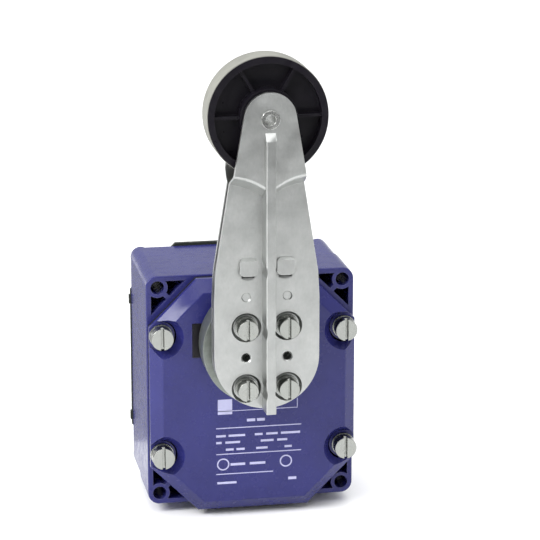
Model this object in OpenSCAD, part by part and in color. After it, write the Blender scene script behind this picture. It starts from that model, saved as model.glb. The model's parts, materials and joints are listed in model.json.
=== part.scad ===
// Heavy-duty rotary limit switch with a large roller lever.
// X is to the right, Y goes back into the mounting wall and Z is up.
// The origin is the centre of the four fixing holes, on the mounting plane.

/* [Body] */
// Width of the body
body_w = 90; // [86:1:96]
// Height of the body
body_h = 102; // [98:1:108]
// Depth of the body, rim to back
body_d = 52; // [50:1:56]
// Radius of the body's upright corners
corner_r = 5; // [4:0.5:6]
// How far the front half stands proud of the rear half
parting_step = 0.4; // [0.2:0.1:0.8]
// Thickness of the rear closing plate
rear_plate_t = 2; // [1.5:0.5:3]

/* [Fixing holes] */
// Spacing of the fixing holes across
fixing_x = 80; // [78:1:82]
// Spacing of the fixing holes up
fixing_z = 92; // [90:1:94]
// Diameter of the fixing holes
fixing_d = 5.8; // [5.3:0.1:6]
// Diameter of the tube round each fixing hole
fixing_boss_d = 8.8; // [8.4:0.1:9.2]

/* [Cover] */
// Height of the cover over its gasket
cover_t = 6.8; // [6.4:0.2:7.2]
// Thickness of the rubber gasket under the cover
gasket_t = 3.2; // [2:0.2:3.6]
// How far the cover hangs below the middle of the body
cover_drop = 1.2; // [0:0.1:1.6]
// Width of the slope round the cover's edge
cover_bevel = 5.1; // [4:0.1:6]
// Depth of that slope
cover_slope = 4.6; // [4:0.1:5.2]
// Distance across the cut corners, measured as x plus z
corner_cut = 76.4; // [75:0.2:78]
// Spacing of the cover screws across
cover_screw_x = 79.2; // [78:0.2:80]
// Spacing of the cover screws up
cover_screw_z = 53; // [50:1:56]
// Diameter of the cover screw heads
cover_head_d = 9.4; // [9:0.1:10]

/* [Cable entries] */
// Diameter of each threaded cable entry
entry_d = 20.4; // [18.6:0.1:20.4]
// Spacing of the two entries
entry_spacing = 38; // [36:1:40]

/* [Lever] */
// Height of the shaft over the centre of the fixing holes
shaft_z = 24.8; // [24:0.2:25.6]
// Diameter of the operating shaft
shaft_d = 14; // [13:0.5:14.5]
// Length of the lever, shaft to axle
lever_l = 101.6; // [98:0.2:104]
// Thickness of each lever plate
lever_t = 2; // [1.5:0.25:2.25]
// Spacing of the lever screws across
lever_screw_x = 17.2; // [17:0.2:18]
// Spacing of the lever screws along the lever
lever_screw_z = 26.2; // [26:0.2:28]
// Diameter of the drum that carries the lever
drum_d = 49; // [46:1:50]

/* [Roller] */
// Diameter of the roller
roller_d = 50; // [48:1:52]
// Width of the roller's rim
roller_w = 14; // [12:1:15]
// Number of ribs on each side of the roller
roller_ribs = 6; // [5:1:8]

/* [Contacts] */
// Travel of a plunger for each radian of lever swing
cam_rise = 2.2; // [1.5:0.1:2.4]
// Cam radius at rest
cam_r = 11; // [10:0.5:12]

/* [Hidden] */
$fn = 64;
gap = 0.05;

// Depths, from the mounting plane towards the front, where Y is negative
case_back = -rear_plate_t;
rim = case_back - body_d;
cover_back = rim - gasket_t;
cover_front = cover_back - cover_t;
cover_wall = 4;
cover_inner = cover_front + cover_wall;
floor_front = case_back - 4;

// The stack of the lever, either side of the roller's middle
roller_mid = rim - 35.5;
plate_gap = 3;
plate_front = roller_mid - plate_gap / 2 - lever_t;
joggle = 8.2;
rib_front = plate_front - 10.5;
axle_z = shaft_z + lever_l;
hub_front = roller_mid + plate_gap / 2 + lever_t;
drum_front = hub_front + 7;
drum_back = drum_front + 12;

// Half sizes of the octagon that the case rim and rear plate share, and those of the cover
oct_x = body_w / 2;
oct_z = body_h / 2;
cover_x = oct_x - 0.5;
cover_z = oct_z + 0.6;
cover_cut = corner_cut - 0.8;
chamber_wall = 3;

// Contact blocks, one behind the other
block_top = -3;
block_bottom = -41;
block_d = 15;
front_block_y = rim;
rear_block_y = rim + 16;
front_half = 20;
rear_half = 27;
plunger_w = 6;
plunger_top = shaft_z - cam_r - 0.3;
bridge_z = -20;

// Plate of thickness t whose back is at y, drawn as x and z
module slab(y, t) {
    translate([0, y, 0]) rotate([90, 0, 0]) linear_extrude(t) children();
}

// Rod along Y of radius r, whose back end is at y
module rod(x, y, z, r, l) {
    translate([x, y, z]) rotate([90, 0, 0]) cylinder(r = r, h = l);
}

// Rectangle with round corners, centred
module round_rect(w, h, r) {
    square([w - 2 * r, h], center = true);
    square([w, h - 2 * r], center = true);
    for (x = [-1, 1], z = [-1, 1]) translate([x * (w / 2 - r), z * (h / 2 - r)]) circle(r);
}

// Rectangle with its corners cut off where x plus z passes cut
module octagon(hx, hz, cut) {
    polygon([[cut - hz, hz], [hx, cut - hx], [hx, hx - cut], [cut - hz, -hz],
        [hz - cut, -hz], [-hx, hx - cut], [-hx, cut - hx], [hz - cut, hz]]);
}

module four(sx, sz) {
    for (x = [-sx / 2, sx / 2], z = [-sz / 2, sz / 2]) translate([x, 0, z]) children();
}

// Slotted cheese-head screw: the head's back is at y and the slot stands upright
module slotted_screw(y, head_r, head_h, shank_r, shank_l, slot_w = 1.3) {
    difference() {
        rod(0, y, 0, head_r, head_h);
        translate([-slot_w / 2, y - head_h - 1, -head_r - 1]) cube([slot_w, 2.4, 2 * head_r + 2]);
    }
    rod(0, y + shank_l, 0, shank_r, shank_l + 0.5);
}

// ---- Housing ----

corner_wall = 2.2;
pocket_depth = 20;
pocket_cut = corner_cut + 0.5;
chamber_cut = corner_cut - 4.4;
post_x = 31.5;
post_low = -34;
post_high = -5;
post_front = -20.5;
entry_y = -29;
entry_boss_top = -43;

module chamber_outline() {
    octagon(oct_x - chamber_wall, oct_z - chamber_wall, chamber_cut);
}

module corner_pockets() {
    difference() {
        square([body_w - 2 * corner_wall, body_h - 2 * corner_wall], center = true);
        octagon(oct_x, oct_z, pocket_cut);
        for (x = [-1, 1], z = [-1, 1]) translate([x * fixing_x / 2, z * fixing_z / 2]) {
            circle(d = fixing_boss_d);
            rotate(x * z * 45) translate([-x * 3, 0]) square([9, 2], center = true);
        }
    }
}

module case_shell() {
    difference() {
        union() {
            slab(case_back, body_d / 2)
                round_rect(body_w - 2 * parting_step, body_h - 2 * parting_step, corner_r);
            slab(case_back - body_d / 2, body_d / 2) round_rect(body_w, body_h, corner_r);
            four(fixing_x, fixing_z) rod(0, 0, 0, fixing_boss_d / 2, rear_plate_t + 1);
        }
        slab(floor_front, body_d) chamber_outline();
        slab(rim + pocket_depth, pocket_depth + 1) corner_pockets();
    }
}

module case() {
    color("#3b3a78") difference() {
        union() {
            case_shell();
            four(cover_screw_x, cover_screw_z) rod(0, case_back - 1, 0, 4.8, body_d - 1);
            for (x = [-1, 1]) {
                for (z = [post_low, post_high])
                    rod(x * post_x, floor_front + 1, z, 4, floor_front + 1 - post_front);
                rod(x * post_x, floor_front + 1, -post_low, 4, 7);
                translate([x * entry_spacing / 2, entry_y, -oct_z + 1])
                    cylinder(d = entry_d + 5.6, h = oct_z - 1 + entry_boss_top);
            }
            rod(-28, floor_front + 1, 12, 4.5, 7);
        }
        four(fixing_x, fixing_z) rod(0, 1, 0, fixing_d / 2, body_d + 4);
        four(cover_screw_x, cover_screw_z) rod(0, rim + 16, 0, 2.5 + gap, 17);
        for (x = [-1, 1]) {
            for (z = [post_low, post_high]) rod(x * post_x, post_front + 8, z, 2 + gap, 9);
            for (z = [post_low, -post_low]) rod(x * post_x, case_back + 1, z, 2 + gap, 8);
            translate([x * entry_spacing / 2, entry_y, -oct_z - 1])
                cylinder(d = entry_d, h = oct_z + 2 + entry_boss_top);
        }
        rod(-28, floor_front, 12, 2 + gap, 8);
    }
}

plate_over = 0.8;
module rear_plate() {
    color("#45483f") difference() {
        union() {
            slab(0, rear_plate_t) octagon(oct_x, oct_z + plate_over, corner_cut);
            for (x = [-1, 1], z = [-1, 1])
                translate([x * oct_x - 0.6, -rear_plate_t, z * 27 - 2])
                    cube([1.2, rear_plate_t, 4]);
        }
        for (x = [-1, 1], z = [-1, 1]) rod(x * post_x, 1, z * post_low, 2.2, rear_plate_t + 2);
        for (x = [-1, 1], z = [-1, 1]) translate([x * post_x, 0.01, z * post_low])
            rotate([90, 0, 0]) cylinder(r1 = 4, r2 = 2.2, h = 1.8);
    }
}

module rear_plate_screws() {
    color("silver") for (x = [-1, 1], z = [-1, 1]) translate([x * post_x, 0, z * post_low])
        difference() {
            union() {
                translate([0, -0.05, 0]) rotate([90, 0, 0]) cylinder(r1 = 3.85, r2 = 2, h = 1.8);
                rod(0, -1, 0, 2, 7.5);
            }
            translate([-4, -0.8, -0.5]) cube([8, 1, 1]);
        }
}

module screw_pads() {
    for (x = [-1, 1], z = [-1, 1])
        translate([x * cover_screw_x / 2, z * cover_screw_z / 2]) circle(4.6);
}

module cover_gasket() {
    color("#20222a") slab(rim, gasket_t) difference() {
        translate([0, -cover_drop]) octagon(cover_x - 0.3, cover_z - 0.3, cover_cut - 0.5);
        difference() {
            octagon(oct_x - chamber_wall, oct_z - chamber_wall, chamber_cut);
            screw_pads();
        }
        for (x = [-1, 1], z = [-1, 1])
            translate([x * cover_screw_x / 2, z * cover_screw_z / 2]) circle(2.8);
    }
}

// Bar along Z with a sloped edge on both sides of its front, half width hw
module sloped_bar(hw, l) {
    edge_y = cover_front + cover_slope;
    translate([0, 0, -l]) linear_extrude(2 * l)
        polygon([[-hw, cover_back], [hw, cover_back], [hw, edge_y],
            [hw - cover_bevel, cover_front], [cover_bevel - hw, cover_front], [-hw, edge_y]]);
}

module cover_blank() {
    translate([0, 0, -cover_drop]) intersection() {
        sloped_bar(cover_x, 80);
        rotate([0, 90, 0]) sloped_bar(cover_z, 80);
        rotate([0, 45, 0]) sloped_bar(cover_cut / sqrt(2), 80);
        rotate([0, -45, 0]) sloped_bar(cover_cut / sqrt(2), 80);
    }
}

seat_y = cover_back - 2;
head_front = rim - 12.2;
stop_w = 53.6;
stop_h = 15;
stop_t = 2;
stop_proud = 0.5;
sleeve_r = 12;
spring_post_z = shaft_z + 17;
module cover() {
    color("#474a80") difference() {
        cover_blank();
        slab(cover_back + 1, cover_t - cover_wall + 1)
            difference() {
                octagon(oct_x - 4, oct_z - 4, corner_cut - 6);
                for (x = [-1, 1], z = [-1, 1])
                    translate([x * cover_screw_x / 2, z * cover_screw_z / 2]) circle(6);
            }
        four(cover_screw_x, cover_screw_z) {
            rod(0, cover_back + 1, 0, 2.75, cover_t + 2);
            rod(0, seat_y, 0, 6.6, cover_t);
            translate([0, seat_y - 1.2, 0]) rotate([90, 0, 0]) cylinder(r1 = 6.6, r2 = 9.4, h = 3.7);
        }
        translate([-stop_w / 2, cover_front - 1, shaft_z - stop_h / 2])
            cube([stop_w, 1 + stop_t - stop_proud, stop_h]);
        rod(0, cover_back + 1, shaft_z, sleeve_r, cover_t + 2);
        rod(0, cover_inner + 1, spring_post_z, 1.5, 2.5);
    }
}

module cover_screws() {
    color("#c9cdc2") four(cover_screw_x, cover_screw_z)
        slotted_screw(seat_y - 1.2, cover_head_d / 2, seat_y - 1.2 - head_front, 2.5, 18);
}

module cover_screw_washers() {
    color("#7d8078") four(cover_screw_x, cover_screw_z) difference() {
        rod(0, seat_y, 0, 5, 1.2);
        rod(0, seat_y + 1, 0, 2.6, 4);
    }
}

module stop_blocks() {
    color("#17181a") difference() {
        translate([-stop_w / 2 + gap, cover_front - stop_proud, shaft_z - stop_h / 2 + gap])
            cube([stop_w - 2 * gap, stop_t, stop_h - 2 * gap]);
        rod(0, cover_back + 1, shaft_z, sleeve_r + gap, cover_t + 3);
    }
}

// ---- Shaft bearing in the cover ----

flange_back = cover_front - stop_proud;
sleeve_front = flange_back - 9.5;
sleeve_back = rim + 2;
bush_r = 9;
seal_back = flange_back + 4;
module bearing_sleeve() {
    color("#8d918c") difference() {
        union() {
            rod(0, flange_back, shaft_z, 18.5, 2.5);
            rod(0, sleeve_back, shaft_z, sleeve_r - gap, sleeve_back - sleeve_front);
        }
        rod(0, sleeve_back + 1, shaft_z, bush_r, sleeve_back - sleeve_front + 2);
    }
}

module sleeve_nut() {
    color("#9aa09a") difference() {
        translate([0, cover_inner + 4.5, shaft_z]) rotate([90, 0, 0]) cylinder(r = 17, h = 4.5, $fn = 6);
        rod(0, cover_inner + 6, shaft_z, sleeve_r, 8);
    }
}

module bush(y, l) {
    color("#b08d57") difference() {
        rod(0, y, shaft_z, bush_r, l);
        rod(0, y + 1, shaft_z, shaft_d / 2 + gap, l + 2);
    }
}

module front_bush() {
    bush(seal_back - 5.5, seal_back - 5.5 - sleeve_front);
}

module rear_bush() {
    bush(sleeve_back, sleeve_back - seal_back);
}

module shaft_seal() {
    color("#1c1c1e") difference() {
        rod(0, seal_back, shaft_z, bush_r, 5.5);
        rod(0, seal_back + 1, shaft_z, shaft_d / 2 + gap, 8);
        translate([0, seal_back - 1.5, shaft_z]) rotate([90, 0, 0]) difference() {
            cylinder(r = 8.4, h = 5);
            translate([0, 0, -1]) cylinder(r = 7.7, h = 7);
        }
    }
}

module spring_post() {
    color("silver") rod(0, cover_inner + 22, spring_post_z, 1.5 - gap, 22.5);
}

// ---- Contact blocks ----

module block_screw_places() {
    for (x = [-12.5, 12.5], z = [-38, -6]) translate([x, 0, z]) children();
}

module mounting_plate() {
    color("#a9adaf") difference() {
        slab(post_front, 2) intersection() {
            translate([-34.5, -42]) square([69, 42]);
            octagon(oct_x - chamber_wall, oct_z - chamber_wall, chamber_cut - 1);
        }
        for (x = [-1, 1], z = [post_low, post_high]) rod(x * post_x, post_front + 1, z, 2.2, 4);
        block_screw_places() rod(0, post_front + 1, 0, 2 + gap, 4);
    }
}

module mounting_plate_screws() {
    color("silver") for (x = [-1, 1], z = [post_low, post_high]) translate([x * post_x, 0, z])
        slotted_screw(post_front - 2, 3.4, 2.6, 2, 9, 1);
}

module terminal_places(half) {
    for (x = [-1, 1], z = [-10, -31]) translate([x * (half - 4.2), 0, z]) children();
}

// Moulded block: y is its front face, half its half width
module contact_block(y, half) {
    color("#e2ddcf") difference() {
        translate([-half, y, block_bottom]) cube([2 * half, block_d, block_top - block_bottom]);
        // Guide for the plunger and the room for its spring
        translate([-plunger_w / 2 - gap, y + 7.5 - plunger_w / 2 - gap, block_bottom + 2])
            cube([plunger_w + 2 * gap, plunger_w + 2 * gap, 50]);
        // Chamber that the bridge travels in
        translate([-14, y + 3.5, -28]) cube([28, 8, 16]);
        // Slots for the fixed contacts
        for (x = [-1, 1], z = [-15.6, -26])
            translate([x > 0 ? 8 : -half - 1, y + 5, z]) cube([half - 7, 5, 1.6]);
        terminal_places(half) {
            translate([-4.25, -1, -4.5]) translate([0, y, 0]) cube([8.6, 5, 9]);
            rod(0, y + 10, 0, 1.75 + gap, 12);
        }
        block_screw_places() rod(0, y + block_d + 1, 0, 2 + gap, block_d + 2);
    }
}

module front_contact_block() {
    contact_block(front_block_y, front_half);
}

module rear_contact_block() {
    contact_block(rear_block_y, rear_half);
}

module block_screws() {
    length = rear_block_y + block_d - front_block_y + 3;
    color("silver") block_screw_places() slotted_screw(front_block_y, 3.3, 2.4, 2, length, 1);
}

// Brass strips with silver pads above and below the bridge
module fixed_contacts(y, half) {
    color("#c8a24a") for (x = [-1, 1], side = [-1, 1]) {
        z = side > 0 ? -15.6 : -26;
        pad = side > 0 ? -16.6 : -24.4;
        translate([x > 0 ? 8.05 : -half, y + 5.05, z]) cube([half - 8.05, 4.9, 1.6]);
        translate([x * 10.5, y + 7.5, pad]) cylinder(r = 1.8, h = 1);
    }
}

module front_fixed_contacts() {
    fixed_contacts(front_block_y, front_half);
}

module rear_fixed_contacts() {
    fixed_contacts(rear_block_y, rear_half);
}

module terminal_screws(y, half) {
    color("#b9bdb4") terminal_places(half) slotted_screw(y + 4, 3, 2.4, 1.75, 5, 0.9);
}

module front_terminal_screws() {
    terminal_screws(front_block_y, front_half);
}

module rear_terminal_screws() {
    terminal_screws(rear_block_y, rear_half);
}

// Square plunger with a rounded nose that rides on its cam
module plunger(y) {
    nose_r = plunger_w / 2;
    color("#d9d4c4") difference() {
        union() {
            translate([-nose_r, y - nose_r, bridge_z - 6])
                cube([plunger_w, plunger_w, plunger_top - nose_r - bridge_z + 6]);
            rod(0, y + nose_r, plunger_top - nose_r, nose_r, plunger_w);
        }
        translate([-5, y - 2.05, bridge_z - 0.55]) cube([10, 4.1, 1.1]);
    }
}

module contact_bridge(y) {
    color("#c8a24a") {
        translate([-13, y - 2, bridge_z - 0.5]) cube([26, 4, 1]);
        for (x = [-10.5, 10.5]) translate([x, y, bridge_z - 0.9]) cylinder(r = 1.6, h = 1.8);
    }
}

// Point at angle a of a coil of mean radius r that climbs pitch each turn
function coil_point(r, pitch, a) = [r * cos(a), r * sin(a), pitch * a / 360];
function coil_ring(r, pitch, wire, a, sides) = [for (k = [0:sides - 1])
    let (b = 360 * k / sides)
    coil_point(r, pitch, a) + wire * [cos(b) * cos(a), cos(b) * sin(a), sin(b)]];

// Closed coil of round wire round Z, standing on z = 0
module coil(r, pitch, wire, turns, steps, sides = 8) {
    rings = turns * steps;
    points = [for (i = [0:rings]) each coil_ring(r, pitch, wire, 360 * i / steps, sides)];
    walls = [for (i = [0:rings - 1], k = [0:sides - 1])
        let (n = (k + 1) % sides)
        [i * sides + k, i * sides + n, (i + 1) * sides + n, (i + 1) * sides + k]];
    start = [[for (k = [0:sides - 1]) sides - 1 - k]];
    end = [[for (k = [0:sides - 1]) rings * sides + k]];
    polyhedron(points, concat(walls, start, end), convexity = 10);
}

plunger_spring_h = bridge_z - 6 - (block_bottom + 2);
module plunger_spring(y) {
    wire = 0.45;
    turns = 5;
    color("silver") translate([0, y, block_bottom + 2 + wire + 0.02])
        coil(2.2, (plunger_spring_h - 2 * wire - 0.04) / turns, wire, turns, 14);
}

module front_plunger() {
    plunger(front_block_y + 7.5);
}

module rear_plunger() {
    plunger(rear_block_y + 7.5);
}

module front_contact_bridge() {
    contact_bridge(front_block_y + 7.5);
}

module rear_contact_bridge() {
    contact_bridge(rear_block_y + 7.5);
}

module front_plunger_spring() {
    plunger_spring(front_block_y + 7.5);
}

module rear_plunger_spring() {
    plunger_spring(rear_block_y + 7.5);
}

module earth_screw() {
    color("#b9bdb4") translate([-28, 0, 12]) slotted_screw(floor_front - 6, 4, 2.8, 2, 5.5, 1.1);
}

// ---- Cable entries ----

module entry_plug() {
    color("#b4b8b6") translate([-entry_spacing / 2, entry_y, -oct_z]) difference() {
        union() {
            translate([0, 0, -4.2]) cylinder(r = 12.6, h = 3);
            translate([0, 0, -2]) cylinder(r = entry_d / 2 - gap, h = 9.5);
        }
        translate([-13, -1, -5]) cube([26, 2, 2]);
        translate([0, 0, 0]) cylinder(r = 7.5, h = 10);
    }
}

module entry_plug_seal() {
    color("#1c1c1e") translate([-entry_spacing / 2, entry_y, -oct_z - 1.2]) difference() {
        cylinder(r = 12, h = 1.2);
        translate([0, 0, -1]) cylinder(r = entry_d / 2, h = 4);
    }
}

// ---- Shaft and cams ----

square_w = 10;
journal_front = drum_front - 1;
cam_seat_r = 6;
shoulder = sleeve_back + 2;
shaft_end = rear_block_y + block_d + 1;
cam_t = 6;
front_cam_back = front_block_y + (block_d + cam_t) / 2;
rear_cam_back = rear_block_y + (block_d + cam_t) / 2;
rear_cam_front = rear_cam_back - cam_t;
module shaft() {
    color("#b9bcb8") {
        translate([0, 0, shaft_z]) translate([-square_w / 2, plate_front + lever_t + 0.2, -square_w / 2])
            cube([square_w, journal_front - plate_front - lever_t, square_w]);
        rod(0, shoulder, shaft_z, shaft_d / 2, shoulder - journal_front);
        difference() {
            rod(0, shaft_end, shaft_z, cam_seat_r, shaft_end - shoulder + 0.5);
            translate([-10, shoulder + 0.01, shaft_z + 4.5]) cube([20, 50, 5]);
            translate([0, shaft_end - 4, shaft_z]) rotate([90, 0, 0]) difference() {
                cylinder(r = 8, h = 1.1);
                translate([0, 0, -1]) cylinder(r = 5.2, h = 4);
            }
        }
    }
}

module shaft_circlip() {
    color("#4a4a4a") translate([0, shaft_end - 4.05, shaft_z]) rotate([90, 0, 0]) difference() {
        cylinder(r = 8.6, h = 1);
        translate([0, 0, -1]) cylinder(r = 5.25, h = 3);
        translate([-2, 0, -1]) cube([4, 12, 3]);
    }
}

// Cam whose radius under the shaft falls or rises evenly as the lever swings
function cam_radius(a, rise) = abs(a) <= 62
    ? cam_r + rise * a * PI / 180
    : cam_r + rise * (a > 0 ? 180 - a : -180 - a) * 62 / 118 * PI / 180;
module cam_outline(rise) {
    polygon([for (a = [-180:4:176]) cam_radius(a, rise) * [sin(a), -cos(a)]]);
}

module shaft_seat() {
    difference() {
        circle(cam_seat_r + 0.02);
        translate([-10, 4.52]) square([20, 5]);
    }
}

module front_cam() {
    color("#8a8f92") translate([0, 0, shaft_z]) difference() {
        union() {
            slab(front_cam_back, cam_t) cam_outline(cam_rise);
            slab(rear_cam_front, rear_cam_front - front_cam_back + 1) circle(8);
        }
        slab(rear_cam_front + 1, 20) shaft_seat();
    }
}

module rear_cam() {
    color("#8a8f92") translate([0, 0, shaft_z]) difference() {
        slab(rear_cam_back, cam_t) cam_outline(-cam_rise);
        slab(rear_cam_back + 1, cam_t + 2) shaft_seat();
    }
}

module return_spring() {
    wire = 0.8;
    turns = 4;
    color("#6c7074") translate([0, rear_cam_front - 0.4, shaft_z]) rotate([90, 0, 0]) {
        translate([0, 0, wire]) coil(9.2, 1.75, wire, turns, 20);
        for (end = [0, 1]) translate([9.2, 0, wire + end * turns * 1.75])
            rotate([0, 90, 0]) cylinder(r = wire, h = 4.5);
    }
}

// ---- Lever ----

module lever_screw_places() {
    translate([0, 0, shaft_z]) four(lever_screw_x, lever_screw_z) children();
}

module lever_hub() {
    color("#8f948c") difference() {
        union() {
            rod(0, drum_back, shaft_z, drum_d / 2, drum_back - drum_front);
            rod(0, drum_front + 1, shaft_z, 19.5, drum_front + 1 - hub_front);
        }
        rod(0, drum_back + 1, shaft_z, drum_d / 2 - 3, 9);
        rod(0, drum_back + 1, shaft_z, shaft_d / 2 + 0.02, drum_back + 1 - journal_front);
        translate([-square_w / 2 - 0.02, hub_front - 1, shaft_z - square_w / 2 - 0.02])
            cube([square_w + 0.04, 20, square_w + 0.04]);
        lever_screw_places() rod(0, hub_front + 9, 0, 2.5 + gap, 10);
    }
}

// Lever outline from the round foot to the bend, then to the round eye
foot_r = 22;
bend_z = 98.5;
bend_rise = 4.5;
bend_drop = 6.5;
eye_r = 10.9;
rib_w = 4.2;
module lever_low() {
    translate([0, shaft_z]) circle(foot_r, $fn = 96);
    polygon([[-foot_r, shaft_z], [-foot_r, 50], [-21.4, 61], [-18.9, 77], [-15.4, bend_z],
        [0, bend_z - bend_drop], [15.4, bend_z], [18.9, 77], [21.4, 61], [foot_r, 50],
        [foot_r, shaft_z]]);
}

module lever_high() {
    translate([0, axle_z]) circle(eye_r, $fn = 96);
    polygon([[-14.6, bend_z + bend_rise], [0, bend_z + bend_rise - bend_drop],
        [14.6, bend_z + bend_rise], [eye_r, axle_z], [-eye_r, axle_z]]);
}

// Sloped strip between the two flats, on one side of the rib
module lever_bend(side) {
    low = [[0, bend_z - bend_drop], [side * 15.4, bend_z]];
    high = [[0, bend_z + bend_rise - bend_drop], [side * 14.6, bend_z + bend_rise]];
    hull() {
        for (p = low) translate([p[0] - 0.01, plate_front, p[1] - 0.01]) cube([0.02, lever_t, 0.02]);
        for (p = high)
            translate([p[0] - 0.01, plate_front - joggle, p[1] - 0.01]) cube([0.02, lever_t, 0.02]);
    }
}

// Rib from height low to its sloped top end, at the roller's side of the eye
module lever_rib(low) {
    top = axle_z - 5.4;
    rotate([90, 0, 90]) translate([0, 0, -rib_w / 2]) linear_extrude(rib_w)
        polygon([[plate_front + 0.5, low], [rib_front, low], [rib_front, top - 3.5],
            [plate_front - joggle, top], [plate_front - joggle + 0.5, top],
            [plate_front - joggle + 0.5, bend_z], [plate_front + 0.5, bend_z - bend_drop]]);
}

dimple_r = 6.5;
dimple_d = 1.5;
boss_z = 38.8;
// Plate seen from the front; rib_low is where its rib starts
module lever_plate(rib_low) {
    difference() {
        union() {
            slab(plate_front + lever_t, lever_t) lever_low();
            slab(plate_front + lever_t - joggle, lever_t) lever_high();
            lever_bend(-1);
            lever_bend(1);
            lever_rib(rib_low);
            lever_screw_places() rod(0, plate_front + lever_t + dimple_d - gap, 0, dimple_r, 2);
            for (x = [-1, 1]) translate([x * 7.8 - 2.9, plate_front - 1.2, shaft_z + boss_z - 3])
                cube([5.8, 1.6, 6]);
        }
        lever_screw_places() {
            rod(0, plate_front + dimple_d, 0, dimple_r - 0.6, 11);
            rod(0, plate_front + 5, 0, 2.6, 9);
        }
        for (x = [-1, 1]) {
            rod(x * lever_screw_x / 2, plate_front + 4, shaft_z, 1.7, 6);
            rod(x * lever_screw_x / 2, plate_front + 0.8, shaft_z + 26, 2.4, 2);
        }
        rod(0, plate_front, axle_z, 3 + 0.02, 12);
    }
}

module front_lever_plate() {
    color("#b9bbb8") lever_plate(shaft_z - foot_r + 0.4);
}

// The same plate turned round; its rib is cut off above the drum and it clears the square
module rear_lever_plate() {
    color("#a9aba8") difference() {
        translate([0, 2 * roller_mid, 0]) mirror([0, 1, 0]) lever_plate(shaft_z + 27);
        translate([-square_w / 2 - 0.1, hub_front - 4, shaft_z - square_w / 2 - 0.1])
            cube([square_w + 0.2, 8, square_w + 0.2]);
    }
}

lever_head_y = plate_front + dimple_d - 1.6;
module lever_screws() {
    color("#c3c6bd") lever_screw_places()
        slotted_screw(lever_head_y, 4.25, 5.2, 2.5, hub_front + 8 - lever_head_y, 1.2);
}

module lever_screw_washers() {
    color("#8a8d86") lever_screw_places() difference() {
        rod(0, plate_front + dimple_d, 0, 4.7, 1.6);
        rod(0, plate_front + dimple_d + 1, 0, 2.6, 4);
    }
}

// ---- Roller ----

eye_front = plate_front - joggle;
hub_half = 8.3;
module axle() {
    half = roller_mid - eye_front;
    color("#cfd1cf") difference() {
        union() {
            rod(0, roller_mid + half, axle_z, 3, 2 * half);
            for (y = [roller_mid - half, roller_mid + half + 0.9]) rod(0, y, axle_z, 3.85, 0.9);
        }
        rod(0, roller_mid + half + 2, axle_z, 2.05, 2 * half + 4);
    }
}

module axle_washers() {
    t = 1.2;
    color("#9c9f9c") for (y = [roller_mid - hub_half - 0.1, roller_mid + hub_half + 0.1 + t])
        difference() {
            rod(0, y, axle_z, 7.5, t);
            rod(0, y + 1, axle_z, 3 + gap, t + 2);
        }
}

rim_r = roller_d / 2 - 0.3;
tread_in = roller_d / 2 - 2.6;
module roller_wheel() {
    half = roller_w / 2;
    web = 1.6;
    rim_in = rim_r - 2.7;
    color("#1b191f") translate([0, roller_mid, axle_z]) rotate([90, 0, 0]) {
        // Rim, web and hub in one turned section
        rotate_extrude($fn = 128) difference() {
            union() {
                translate([rim_in, -half]) square([rim_r - rim_in, 2 * half]);
                translate([8, -web]) square([rim_in - 7, 2 * web]);
                translate([6, -hub_half]) square([5.8, 2 * hub_half]);
            }
            translate([tread_in, -half + 0.9]) square([6, 2 * half - 1.8]);
        }
        for (k = [0:roller_ribs - 1]) rotate(360 * k / roller_ribs)
            translate([11.4, -0.6, -half + 1.6]) cube([rim_in - 11, 1.2, 2 * half - 3.2]);
    }
}

module roller_tread() {
    half = roller_w / 2 - 0.9;
    color("#a3a299") translate([0, roller_mid, axle_z]) rotate([90, 0, 0])
        rotate_extrude($fn = 128)
            translate([tread_in + 0.02, -half]) square([roller_d / 2 - tread_in - 0.02, 2 * half]);
}

module roller_bush() {
    color("#b08d57") difference() {
        rod(0, roller_mid + hub_half, axle_z, 6, 2 * hub_half);
        rod(0, roller_mid + hub_half + 1, axle_z, 3 + gap, 2 * hub_half + 2);
    }
}

case();
rear_plate();
rear_plate_screws();
cover_gasket();
cover();
cover_screws();
cover_screw_washers();
stop_blocks();
bearing_sleeve();
sleeve_nut();
front_bush();
rear_bush();
shaft_seal();
spring_post();
mounting_plate();
mounting_plate_screws();
front_contact_block();
rear_contact_block();
block_screws();
front_fixed_contacts();
rear_fixed_contacts();
front_terminal_screws();
rear_terminal_screws();
front_plunger_spring();
rear_plunger_spring();
earth_screw();
entry_plug();
entry_plug_seal();
shaft();
shaft_circlip();
front_cam();
rear_cam();
return_spring();
lever_hub();
rear_lever_plate();
front_lever_plate();
lever_screws();
lever_screw_washers();
axle();
axle_washers();
roller_wheel();
roller_tread();
roller_bush();
front_plunger();
front_contact_bridge();
rear_plunger();
rear_contact_bridge();
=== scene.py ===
"""Heavy-duty rotary limit switch with a sprung two-plate lever and a large roller.

X is to the right, Y goes back into the mounting wall and Z is up. The origin is the centre
of the four fixing holes, on the mounting plane. Every size is in metres.
"""

import json
import math

import bpy
from bpy.props import FloatProperty, FloatVectorProperty, IntProperty, PointerProperty
from mathutils import Matrix, Vector


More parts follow.
